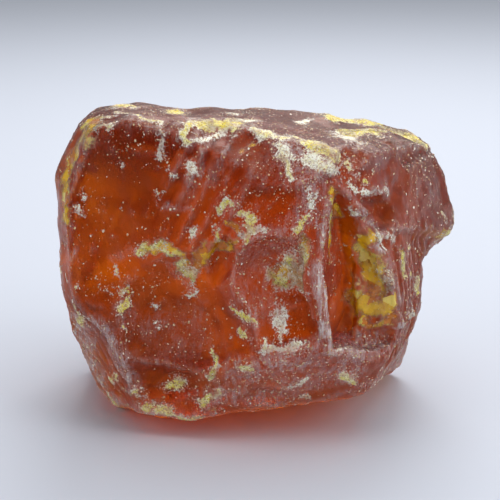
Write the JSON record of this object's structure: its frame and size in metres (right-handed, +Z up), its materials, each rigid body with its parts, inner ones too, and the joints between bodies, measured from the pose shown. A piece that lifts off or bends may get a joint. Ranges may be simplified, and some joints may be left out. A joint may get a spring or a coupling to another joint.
{
  "type": "raw amber piece",
  "caption": "Rough, broken lump of raw amber with a frosted skin, yellow-white weathered crust, an open recess between two crests and an overhanging block.",
  "frame": {"origin": "middle of the lump's plan, on the ground it rests on", "axes": "+X along the lump's width, towards the overhanging block; -Y towards the face with the open recess; +Z up as it rests"},
  "size_m": [0.088, 0.0666, 0.0702],
  "materials": {
    "amber": "satin"
  },
  "bodies": {
    "root": {"amber_lump": "amber"}
  },
  "joints": []
}
